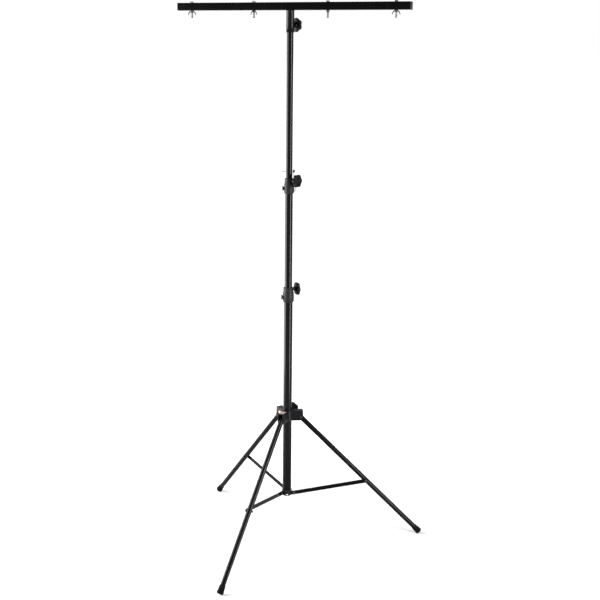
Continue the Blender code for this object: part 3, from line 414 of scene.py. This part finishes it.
class Finish:
    """A material made from procedural nodes, with the shader's own sockets set directly."""

    def __init__(self, name, colour, roughness, metallic=0.0, specular=0.5):
        self.made = bpy.data.materials.new(name)
        self.made.use_nodes = True
        self.tree = self.made.node_tree
        self.shader = self.tree.nodes["Principled BSDF"]
        self.shader.inputs["Base Color"].default_value = (*colour, 1)
        self.shader.inputs["Roughness"].default_value = roughness
        self.shader.inputs["Metallic"].default_value = metallic
        self.shader.inputs["Specular IOR Level"].default_value = specular
        self.place = self.add("ShaderNodeTexCoord").outputs["Object"]
        self.bumped = None

    def add(self, kind, inputs=None, **settings):
        return add_node(self.tree, kind, inputs, **settings)

    def noise(self, scale, detail, stretch=(1, 1, 1)):
        """Noise from about 0.3 to 0.7, with its grains this many to the metre."""
        mapping = self.add("ShaderNodeMapping", {"Scale": stretch, "Vector": self.place})
        grains = {"Scale": scale, "Detail": detail, "Vector": mapping.outputs[0]}
        return self.add("ShaderNodeTexNoise", grains).outputs["Fac"]

    def ranged(self, value, low, high, start=0.3, end=0.7):
        """The value from start to end, turned to the range from low to high."""
        ramp = {"Value": value, "From Min": start, "From Max": end, "To Min": low, "To Max": high}
        return self.add("ShaderNodeMapRange", ramp).outputs["Result"]

    def mixed(self, factor, first, second):
        """The first colour at a factor of 0, the second at 1."""
        colours = {"Factor": factor, 6: (*first, 1), 7: (*second, 1)}
        return self.add("ShaderNodeMix", colours, data_type="RGBA").outputs[2]

    def edges(self, start, end):
        """0 on flat and hollow places, rising to 1 on outer edges, where a coat wears."""
        worn = self.add("ShaderNodeNewGeometry").outputs["Pointiness"]
        return self.ranged(worn, 0, 1, start, end)

    def rough(self, value):
        self.tree.links.new(value, self.shader.inputs["Roughness"])

    def tint(self, value):
        self.tree.links.new(value, self.shader.inputs["Base Color"])

    def bump(self, value, distance, strength):
        """A relief over those that the finish has already."""
        relief = {"Distance": distance, "Strength": strength, "Height": value}
        if self.bumped:
            relief["Normal"] = self.bumped
        self.bumped = self.add("ShaderNodeBump", relief).outputs["Normal"]
        self.tree.links.new(self.bumped, self.shader.inputs["Normal"])


def black_coat(name, black, specular):
    """Glossy black coat on drawn tube: fine orange peel, and faint scuffs that run with the sliding."""
    f = Finish(name, black, 0.17, specular=specular)
    peel = f.noise(420, 2)
    cloud = f.noise(9, 4)
    scuffs = f.noise(60, 5, stretch=(1, 1, 0.06))
    f.rough(f.ranged(cloud, 0.13, 0.22))
    f.tint(f.mixed(f.ranged(scuffs, 0, 1, start=0.62, end=0.80), black, (0.009, 0.009, 0.0095)))
    f.bump(peel, 0.00003, 0.25)
    return f.made


def pressed_coat():
    """Satin powder coat on pressed steel, thinner along its edges."""
    black = (0.0030, 0.0028, 0.0040)
    f = Finish("pressed_steel_coat", black, 0.34, specular=0.08)
    grain = f.noise(900, 2)
    cloud = f.noise(35, 4)
    f.rough(f.ranged(cloud, 0.32, 0.48))
    f.tint(f.mixed(f.edges(0.52, 0.62), black, (0.030, 0.030, 0.032)))
    f.bump(grain, 0.00012, 0.6)
    return f.made


def moulded(name, colour, lighter, roughness, grain, specular):
    """Moulded plastic with a spark-eroded grain and slight clouding."""
    f = Finish(name, colour, roughness, specular=specular)
    fine = f.noise(grain, 3)
    cloud = f.noise(28, 4)
    f.rough(f.ranged(cloud, roughness - 0.06, roughness + 0.08))
    f.tint(f.mixed(f.ranged(cloud, 0, 1), colour, lighter))
    f.bump(fine, 0.0001, 0.7)
    return f.made


def collar_grain():
    """Dark grey glass-filled plastic, mottled by its coarse grain."""
    f = Finish("collar_grain", (0.008, 0.008, 0.010), 0.5, specular=0.10)
    speck = f.noise(230, 4)
    fine = f.noise(1100, 3)
    mottle = f.ranged(speck, 0, 1, start=0.40, end=0.64)
    f.tint(f.mixed(mottle, (0.003, 0.003, 0.0045), (0.014, 0.014, 0.017)))
    f.rough(f.ranged(speck, 0.46, 0.62))
    f.bump(speck, 0.0004, 0.6)
    f.bump(fine, 0.00015, 0.6)
    return f.made


def foot_rubber():
    """Matt rubber, dusty in places."""
    f = Finish("foot_rubber", (0.002, 0.002, 0.002), 0.6, specular=0.04)
    dust = f.noise(40, 6)
    dusty = f.ranged(dust, 0, 1, start=0.5, end=0.8)
    f.tint(f.mixed(dusty, (0.0015, 0.0015, 0.0015), (0.008, 0.0075, 0.007)))
    f.rough(f.ranged(dust, 0.6, 0.8))
    f.bump(f.noise(700, 2), 0.0001, 0.6)
    return f.made


def zinc_plate():
    """Bright zinc plating, a little uneven."""
    f = Finish("zinc_plate", (0.36, 0.36, 0.37), 0.34, metallic=1.0)
    cloud = f.noise(55, 5)
    f.rough(f.ranged(cloud, 0.26, 0.46))
    f.tint(f.mixed(f.ranged(cloud, 0, 1), (0.30, 0.30, 0.31), (0.42, 0.415, 0.40)))
    f.bump(f.noise(600, 3), 0.00003, 0.5)
    return f.made


def black_oxide():
    """Oiled black oxide on fasteners, with bare steel starting to show on its edges."""
    black = (0.010, 0.010, 0.011)
    f = Finish("black_oxide", black, 0.38, metallic=0.3, specular=0.3)
    cloud = f.noise(90, 4)
    f.rough(f.ranged(cloud, 0.28, 0.48))
    f.tint(f.mixed(f.edges(0.55, 0.70), black, (0.09, 0.09, 0.092)))
    f.bump(f.noise(800, 2), 0.00005, 0.5)
    return f.made


def thread_steel():
    """Worn steel thread, unevenly darkened by what is left of its oxide."""
    f = Finish("thread_steel", (0.20, 0.20, 0.205), 0.36, metallic=0.9)
    cloud = f.noise(160, 4)
    f.rough(f.ranged(cloud, 0.28, 0.5))
    f.tint(f.mixed(f.ranged(cloud, 0, 1), (0.12, 0.12, 0.125), (0.27, 0.265, 0.26)))
    f.bump(f.noise(900, 2), 0.00003, 0.5)
    return f.made


def cord_braid():
    """Braided black cord: two sets of strands that lean opposite ways."""
    f = Finish("cord_braid", (0.008, 0.008, 0.008), 0.8, specular=0.2)
    strands = []
    for lean in (0.7, -0.7):
        mapping = f.add("ShaderNodeMapping", {"Rotation": (lean, 0, 0), "Vector": f.place})
        bands = {"Scale": 500, "Vector": mapping.outputs[0]}
        strands.append(f.add("ShaderNodeTexWave", bands, bands_direction="Z").outputs["Fac"])
    for strand in strands:
        f.bump(strand, 0.0001, 0.6)
    f.tint(f.mixed(f.ranged(strands[0], 0, 1), (0.005, 0.005, 0.005), (0.016, 0.016, 0.016)))
    return f.made


def label_foil():
    """Blank copper-toned foil, creased, with painted shade in its creases' hollows and painted highlights on
    their crests.
    """
    f = Finish("label_foil", (0.42, 0.27, 0.22), 0.45, metallic=0.2, specular=0.2)
    crease = f.noise(140, 5)
    crease_shade_and_highlight = f.ranged(crease, 0, 1, start=0.42, end=0.58)
    # Painted shade and painted highlight: dark where the creases sink, light where they rise.
    f.tint(f.mixed(crease_shade_and_highlight, (0.035, 0.022, 0.020), (0.66, 0.50, 0.45)))
    f.rough(f.ranged(crease, 0.3, 0.55))
    f.bump(crease, 0.0004, 0.7)
    return f.made


KNOB_BLACK = ((0.0016, 0.0016, 0.002), (0.0032, 0.0032, 0.0036))
CAP_BLACK = ((0.003, 0.003, 0.0035), (0.006, 0.006, 0.0065))
BUSH_GREY = ((0.58, 0.58, 0.55), (0.64, 0.64, 0.62))
LOOKS = {
    "black_steel": black_coat("tube_coat", (0.0026, 0.0026, 0.0029), 0.08),
    "hub_steel": pressed_coat(),
    "collar_plastic": collar_grain(),
    "knob_plastic": moulded("knob_grain", *KNOB_BLACK, roughness=0.36, grain=1400, specular=0.05),
    "cap_plastic": moulded("cap_grain", *CAP_BLACK, roughness=0.45, grain=1200, specular=0.08),
    "bush_plastic": moulded("bush_grain", *BUSH_GREY, roughness=0.45, grain=900, specular=0.4),
    "rubber": foot_rubber(),
    "zinc_steel": zinc_plate(),
    "black_bolt": black_oxide(),
    "cord": cord_braid(),
}
LEG_COAT = black_coat("leg_coat", (0.0016, 0.0016, 0.0018), 0.05)
BAR_COAT = black_coat("bar_coat", (0.0018, 0.0018, 0.0022), 0.035)
FOIL = label_foil()
THREAD = thread_steel()


def dress_nodes():
    """Every CAD node gets its slot's material."""
    for name, obj in NODES.items():
        obj.data.materials.clear()
        obj.data.materials.append(LOOKS[SLOTS[name]])


def piece(name, bm, body, slot, sharp=35, look=None):
    """A new piece from a bmesh, with a slot's finish or a look of its own.

    It rides on a body, if one is given. Edges over sharp, in degrees, stay sharp.
    """
    bmesh.ops.recalc_face_normals(bm, faces=bm.faces)
    mesh = bpy.data.meshes.new(name)
    bm.to_mesh(mesh)
    bm.free()
    mesh.shade_smooth()
    mesh.set_sharp_from_angle(angle=math.radians(sharp))
    mesh.materials.append(look or LOOKS[slot])
    obj = add_object(name, mesh)
    if body:
        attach(obj, body)
    return obj


def skin(rings, closed_ends=True, bm=None):
    """A surface through rings of equally many points, in a bmesh that is given or new."""
    if bm is None:
        bm = bmesh.new()
    rows = [[bm.verts.new(point) for point in ring] for ring in rings]
    count = len(rows[0])
    for low, high in zip(rows, rows[1:]):
        for i in range(count):
            bm.faces.new((low[i], low[(i + 1) % count], high[(i + 1) % count], high[i]))
    if closed_ends:
        bm.faces.new(reversed(rows[0]))
        bm.faces.new(rows[-1])
    return bm


def angles(count):
    """Equal steps round a whole turn, in radians."""
    return [math.tau * i / count for i in range(count)]


def polar(radius, angle, height):
    """A point round Z."""
    return radius * math.cos(angle), radius * math.sin(angle), height


def circle(radius, height, sides):
    """A ring of points round Z."""
    return [polar(radius, angle, height) for angle in angles(sides)]


def oval(centre, first, second, sides):
    """A ring of points round a centre, through the ends of two half axes."""
    return [centre + first * math.cos(angle) + second * math.sin(angle) for angle in angles(sides)]


def arc(cx, cy, radius, start, end, points):
    """Points on an arc, in degrees."""
    steps = [math.radians(start + (end - start) * i / (points - 1)) for i in range(points)]
    return [(cx + radius * math.cos(a), cy + radius * math.sin(a)) for a in steps]


def smooth(points, between):
    """A smooth curve through the points, with this many steps from each to the next."""
    spots = [Vector(p) for p in points]
    ends = [2 * spots[0] - spots[1]] + spots + [2 * spots[-1] - spots[-2]]
    made = []
    for a, b, c, d in zip(ends, ends[1:], ends[2:], ends[3:]):
        for i in range(between):
            t = i / between
            bend = (2 * a - 5 * b + 4 * c - d) * t**2 + (3 * b - a - 3 * c + d) * t**3
            made.append(0.5 * (2 * b + (c - a) * t + bend))
    made.append(spots[-1])
    return made


def heading(path, i):
    """The direction of a path at one of its points."""
    return (path[min(i + 1, len(path) - 1)] - path[max(i - 1, 0)]).normalized()


def yaw_to(direction):
    """The turn round Z that takes X to a level direction."""
    return Matrix.Rotation(math.atan2(direction.y, direction.x), 4, "Z")


def square_to(axis):
    """The level direction that a leg or bracket takes from its hinge's axis."""
    return Vector((axis[1], -axis[0], 0))


def softened(name, body, width, segments=2, look=None):
    """A copy of a CAD node with its edges rounded, which stands for it."""
    source = NODES[name]
    bm = bmesh.new()
    bm.from_mesh(source.data)
    bm.transform(source.matrix_world)
    bmesh.ops.remove_doubles(bm, verts=bm.verts, dist=NODE_MERGE)
    bmesh.ops.dissolve_limit(bm, angle_limit=math.radians(FLAT_ANGLE), verts=bm.verts, edges=bm.edges)
    obj = piece(name + "_fine", bm, body, SLOTS[name], look=look)
    bevel = obj.modifiers.new("Edges", "BEVEL")
    bevel.width = width
    bevel.segments = segments
    bevel.limit_method = "ANGLE"
    bevel.angle_limit = math.radians(EDGE_ANGLE)
    bevel.harden_normals = True
    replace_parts(obj, name)


def lobed(scale, height, lobe=1.0):
    """One section of a knob: a circle with lobes."""
    ring = []
    for angle in angles(KNOB_LOBES * LOBE_POINTS):
        radius = scale * (KNOB_RADIUS + lobe * KNOB_LOBE * math.cos(KNOB_LOBES * angle))
        ring.append(polar(radius, angle, height))
    return ring


def knob_frame(name, turn):
    """A knob's frame: Z out along its stud from its seat, X down at no turn."""
    joint = JOINTS[name + "_turn"]
    axis = Vector(joint["axis"])
    spin = Matrix.Rotation(math.radians(turn), 4, "Z")
    seat = Vector(joint["pos_m"]) - axis * SEAT
    return Matrix.Translation(seat) @ yaw_to(-axis) @ OUTWARD @ spin


def knob(name, turn):
    """Clamping knob: lobed rim with rounded edges, a dished front and a raised cap in its middle."""
    front = KNOB_HUB_HEIGHT + KNOB_THICKNESS
    edge = KNOB_EDGE / KNOB_RADIUS
    rings = [lobed(*section) for section in KNOB_BACK]
    for middle, start, end in ((KNOB_HUB_HEIGHT + KNOB_EDGE, -90, 0), (front - KNOB_EDGE, 0, 90)):
        for share, rise in arc(1 - edge, 0, edge, start, end, 5):
            rings.append(lobed(share, middle + rise * KNOB_RADIUS))
    rings += [lobed(share, front + rise, lobe) for share, rise, lobe in KNOB_FRONT]
    bm = skin(rings)
    bm.transform(knob_frame(name, turn))
    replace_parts(piece(name + "_fine", bm, name, "knob_plastic", 50), name)


def triangle_wave(x):
    """0 at whole numbers and 1 halfway between them."""
    return 1 - abs(2 * (x % 1) - 1)


def thread():
    """The bolt's rings under the bar: its tip's face, and a thread that fades in from the tip."""
    rings = [circle(BOLT_RADIUS * BOLT_TIP_FACE, -BOLT_BELOW, BOLT_SIDES)]
    rows = round(BOLT_BELOW / THREAD_PITCH * THREAD_ROWS)
    for row in range(1, rows + 1):
        z = -BOLT_BELOW + BOLT_BELOW * row / rows
        fade = min(1, (z + BOLT_BELOW) / BOLT_TIP_LENGTH)
        ring = []
        for i, angle in enumerate(angles(BOLT_SIDES)):
            groove = THREAD_DEPTH * triangle_wave(z / THREAD_PITCH - i / BOLT_SIDES)
            radius = (BOLT_RADIUS - groove) * (BOLT_TIP + (1 - BOLT_TIP) * fade)
            ring.append(polar(radius, angle, z))
        rings.append(ring)
    return rings


def hexagon_head(bottom):
    """The bolt's rings over the bar: a hexagon with chamfered corners."""
    half = HEAD_ACROSS / 2
    rings = []
    for height in (0, 1):
        ring = []
        for angle in angles(BOLT_SIDES):
            fold = (angle + math.pi / 6) % (math.pi / 3) - math.pi / 6
            radius = half / math.cos(fold)
            chamfer = HEAD_CHAMFER + (radius - half) * HEAD_SLOPE
            ring.append(polar(radius, angle, bottom + height * (HEAD_HEIGHT - chamfer)))
        rings.append(ring)
    top = bottom + HEAD_HEIGHT
    return rings + [circle(half * share, top - depth, BOLT_SIDES) for share, depth in HEAD_TOP]


def lamp_bolt(number):
    """Upright bolt through the bar: chamfered hexagon head, shank, and a thread where it shows below."""
    place = JOINTS[f"wing_nut_{number}_spin"]["pos_m"]
    top = BAR_SIDE + SEAT
    shank = [circle(BOLT_RADIUS, height, BOLT_SIDES) for height in (THREAD_END, top)]
    bm = skin(thread() + shank + hexagon_head(top))
    bm.transform(Matrix.Translation(place))
    name = f"lamp_bolt_{number}"
    obj = piece(name + "_fine", bm, "crossbar", "black_bolt")
    obj.data.materials.append(THREAD)
    bare = place[2] - NUT_HEIGHT - SEAT
    for face in obj.data.polygons:
        if face.center.z < bare:
            face.material_index = 1
    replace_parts(obj, name)


def nut_body():
    """A nut's coned body with its bore, as a ring that closes on itself."""
    top = -SEAT
    foot_z = top - NUT_HEIGHT
    shoulder, waist, rim = (NUT_RADIUS * share for share in NUT_CONE)
    profile = [
        (NUT_BORE, top - NUT_EDGE),
        (NUT_BORE + NUT_EDGE, top),
        (NUT_RADIUS - NUT_EDGE, top),
        (NUT_RADIUS, top - NUT_EDGE),
        (NUT_RADIUS, top - NUT_RIM),
        (shoulder, top - NUT_SHOULDER),
        (waist, foot_z + NUT_FOOT_EDGE),
        (rim, foot_z),
        (NUT_BORE + NUT_BORE_EDGE, foot_z),
        (NUT_BORE, foot_z + NUT_BORE_EDGE),
    ]
    bm = skin([circle(radius, z, NUT_SIDES) for radius, z in profile + profile[:1]], closed_ends=False)
    bmesh.ops.remove_doubles(bm, verts=bm.verts, dist=RING_MERGE)
    return bm


def wing(bm, side):
    """One slim wing that curves down to a rounded tip, towards +X with a side of 1 and -X with -1."""
    spine = smooth(WING_SPINE, WING_STEPS)
    across = Vector((0, 1, 0))
    sections = []
    for i, spot in enumerate(spine):
        share = i / (len(spine) - 1)
        deep = WING_DEPTH - WING_TAPER * share + WING_SWELL * share**2
        thick = WING_THICKNESS - WING_THINNING * share
        sections.append((spot, heading(spine, i).cross(across), deep, thick))
    spot, normal, deep, thick = sections[-1]
    onward = (spine[-1] - spine[-2]).normalized()
    for reach, share in WING_END:
        sections.append((spot + onward * reach, normal, deep * share, thick * share))
    rings = []
    for spot, normal, deep, thick in sections:
        ring = oval(spot, normal * deep, across * thick, WING_SIDES)
        rings.append([(side * point.x, point.y, point.z) for point in ring])
    skin(rings, bm=bm)


def wing_nut(number):
    """Wing nut under the bar, a coned body with two wings, left at an angle of its own."""
    numbers = (LAMPS[0], number, LAMPS[-1])
    first, place, last = (Vector(JOINTS[f"wing_nut_{n}_spin"]["pos_m"]) for n in numbers)
    bm = nut_body()
    for side in (1, -1):
        wing(bm, side)
    spin = Matrix.Rotation(math.radians(WING_TURNS[number - 1]), 4, "Z")
    bm.transform(Matrix.Translation(place) @ yaw_to(last - first) @ spin)
    name = f"wing_nut_{number}"
    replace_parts(piece(name + "_fine", bm, name, "black_bolt", 45), name)


def boot_profile(end):
    """The boot's outline from its pocket's floor round to its sole: radius, and height on the leg's axis."""
    inner = LEG_RADIUS + SEAT
    lip = inner + BOOT_WALL
    pocket = BOOT_SOLE - end
    top = BOOT_LENGTH - end
    bottom = BOOT_EDGE - end
    side = top - BOOT_SHOULDER
    span = side - bottom
    sole = BOOT_RADIUS - BOOT_EDGE
    profile = [(0, pocket), (inner, pocket), (inner, top + BOOT_SEAL), (inner + BOOT_SEAL, top)]
    profile += arc(lip - BOOT_LIP, top - BOOT_LIP, BOOT_LIP, 90, 0, 4)
    profile += [(lip - depth, top - below) for depth, below in BOOT_NECK]
    grooved = [(0, 0)] + [(start + share, depth) for start in BOOT_GROOVES for share, depth in BOOT_GROOVE]
    profile += [(lip + BOOT_FLARE * share - depth, side - span * share) for share, depth in grooved]
    profile += arc(sole, bottom, BOOT_EDGE, 0, -90, 7)
    profile += [(sole - inward, depth - end) for inward, depth in BOOT_TREAD]
    return profile + [(0, -end)]


def foot(number):
    """Rubber boot with a rolled lip, three grooves and a tread ring, pressed flat where it stands."""
    joint = JOINTS[f"leg_{number}_fold"]
    pivot = Vector(joint["pos_m"])
    lean = math.radians(joint["range_deg"][1])
    drop = pivot.z + BOOT_PRESS - BOOT_EDGE - (BOOT_RADIUS - BOOT_EDGE) * math.sin(lean)
    end = drop / math.cos(lean) + BOOT_EDGE
    bm = skin([circle(max(radius, AXIS_RADIUS), z, BOOT_SIDES) for radius, z in boot_profile(end)])
    hinge = Matrix.Translation(pivot) @ yaw_to(square_to(joint["axis"]))
    bm.transform(hinge @ Matrix.Rotation(-lean, 4, "Y"))
    for vertex in bm.verts:
        vertex.co.z = max(vertex.co.z, 0)
    name = f"foot_{number}"
    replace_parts(piece(name + "_fine", bm, f"leg_{number}", "rubber", 40), name)


def cord_tube(name, path):
    """A closed mesh tube along a path, with no twist."""
    rings = []
    side = heading(path, 0).orthogonal().normalized()
    for i, spot in enumerate(path):
        along = heading(path, i)
        side = (side - along * side.dot(along)).normalized()
        rings.append(oval(spot, side * CORD_RADIUS, along.cross(side) * CORD_RADIUS, CORD_SIDES))
    return piece(name, skin(rings), None, "cord", 60)


def lanyard(pin_height):
    """The pin's lanyard in two lengths, one over each joint that it crosses."""
    axis = Vector(JOINTS["upper_knob_turn"]["axis"])
    local = Matrix.Translation((MAST_X, MAST_Y, pin_height)) @ yaw_to(-axis)
    route = [local @ spot for spot in smooth(LANYARD_ROUTE, LANYARD_STEPS)]
    split = LANYARD_SPLIT * LANYARD_STEPS

    path = route[split:][::-1]
    lower = cord_tube("lanyard_lower", path)
    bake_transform(lower)
    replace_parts(lower, "pin_lanyard")

    path = route[:split + 1][::-1]
    upper = cord_tube("lanyard_upper", path)
    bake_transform(upper)


def lanyard_eye(pin_height):
    """The lanyard's eye round the neck of the pin's handle."""
    pull = Vector(JOINTS["safety_pin_pull"]["axis"])
    neck = Vector((MAST_X, MAST_Y, pin_height)) + pull * HANDLE_NECK_REACH
    around = Matrix.Translation(neck) @ yaw_to(pull) @ OUTWARD
    reach = HANDLE_NECK_RADIUS + EYE_GAP + EYE_RADIUS
    thickness = Vector((0, 0, EYE_RADIUS))
    rings = []
    for angle in angles(EYE_STEPS):
        spoke = Vector(polar(1, angle, 0))
        ring = oval(spoke * reach, spoke * EYE_RADIUS, thickness, EYE_SIDES)
        rings.append([around @ point for point in ring])
    bm = skin(rings + rings[:1], closed_ends=False)
    bmesh.ops.remove_doubles(bm, verts=bm.verts, dist=RING_MERGE)
    piece("lanyard_eye", bm, "safety_pin", "cord", 60)


def border(grid):
    """The outer points of a grid, in order round it."""
    first, last = grid[0][:-1], grid[-1][:0:-1]
    return first + [row[-1] for row in grid[:-1]] + last + [row[0] for row in grid[:0:-1]]


def foil(name, joint_name, place, size):
    """A thin blank foil on one of the hub's brackets: place puts its middle in the bracket's own frame."""
    length, width = size
    across = [length * (i / FOIL_COLUMNS - 0.5) for i in range(FOIL_COLUMNS + 1)]
    down = [width * (k / FOIL_ROWS - 0.5) for k in range(FOIL_ROWS + 1)]
    bm = bmesh.new()
    borders = []
    for height in (0, FOIL_THICKNESS):
        grid = [[bm.verts.new((x, y, height)) for x in across] for y in down]
        borders.append(border(grid))
        for near, far in zip(grid, grid[1:]):
            for i in range(FOIL_COLUMNS):
                bm.faces.new((near[i], near[i + 1], far[i + 1], far[i]))
    low, high = borders
    for corners in zip(low, low[1:] + low[:1], high[1:] + high[:1], high):
        bm.faces.new(corners)
    joint = JOINTS[joint_name]
    middle = Vector((MAST_X, MAST_Y, joint["pos_m"][2]))
    bm.transform(Matrix.Translation(middle) @ yaw_to(square_to(joint["axis"])) @ place)
    piece(name, bm, "hub", "zinc_steel", look=FOIL)


def labels():
    """Blank foils at the hub's front left, where the photograph shows a copper-toned spot."""
    top = Matrix.Translation((TOP_FOIL_REACH, 0, HUB_TOP_RISE + SEAT))
    foil("blank_label_top", "leg_3_fold", top, TOP_FOIL_SIZE)
    cheek = Matrix.Translation((SIDE_FOIL_REACH, HUB_HALF + SEAT, SIDE_FOIL_RISE))
    foil("blank_label_side", "leg_2_fold", cheek @ SIDEWAYS, SIDE_FOIL_SIZE)


camera()
world(ambient=0.30)
floor(size=200, near=0.2, far=2.6, lift=0.85)
softbox("softbox_left", azimuth=178, distance=2.9, height=1.7, size=(2.9, 3.4), power=330)
softbox("gloss_left", azimuth=178, distance=2.95, height=1.7, size=(2.9, 3.4), power=330, gloss=True)
softbox("strip_right", azimuth=-37, distance=2.6, height=1.7, size=(0.55, 3.4), power=95)
softbox("gloss_right", azimuth=-37, distance=2.65, height=1.7, size=(0.55, 3.4), power=230, gloss=True)
top_light(power=25, size=2.0, height=5.0, forward=0.5)
dress_nodes()

for node, degrees in KNOB_TURNS.items():
    knob(node, degrees)
for count in LAMPS:
    lamp_bolt(count)
    wing_nut(count)
for count in LEGS:
    foot(count)
    softened(f"leg_pivot_bolt_{count}", "hub", 0.0004)
    softened(f"leg_cap_{count}", f"leg_{count}", 0.0005)
    softened(f"brace_{count}", f"brace_{count}", 0.0005, look=LEG_COAT)
for node, rides_on, edge_width, edge_segments in SOFTENED:
    softened(node, rides_on, edge_width, edge_segments)
softened("crossbar", "crossbar", 0.0003, look=BAR_COAT)
for count in LEGS:
    softened(f"leg_tube_{count}", f"leg_{count}", 0.0003, look=LEG_COAT)
PIN_LOW, PIN_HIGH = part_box("safety_pin")
PIN_HEIGHT = (PIN_LOW.z + PIN_HIGH.z) / 2
lanyard(PIN_HEIGHT)
lanyard_eye(PIN_HEIGHT)
labels()
bpy.context.scene.view_settings.view_transform = "Standard"
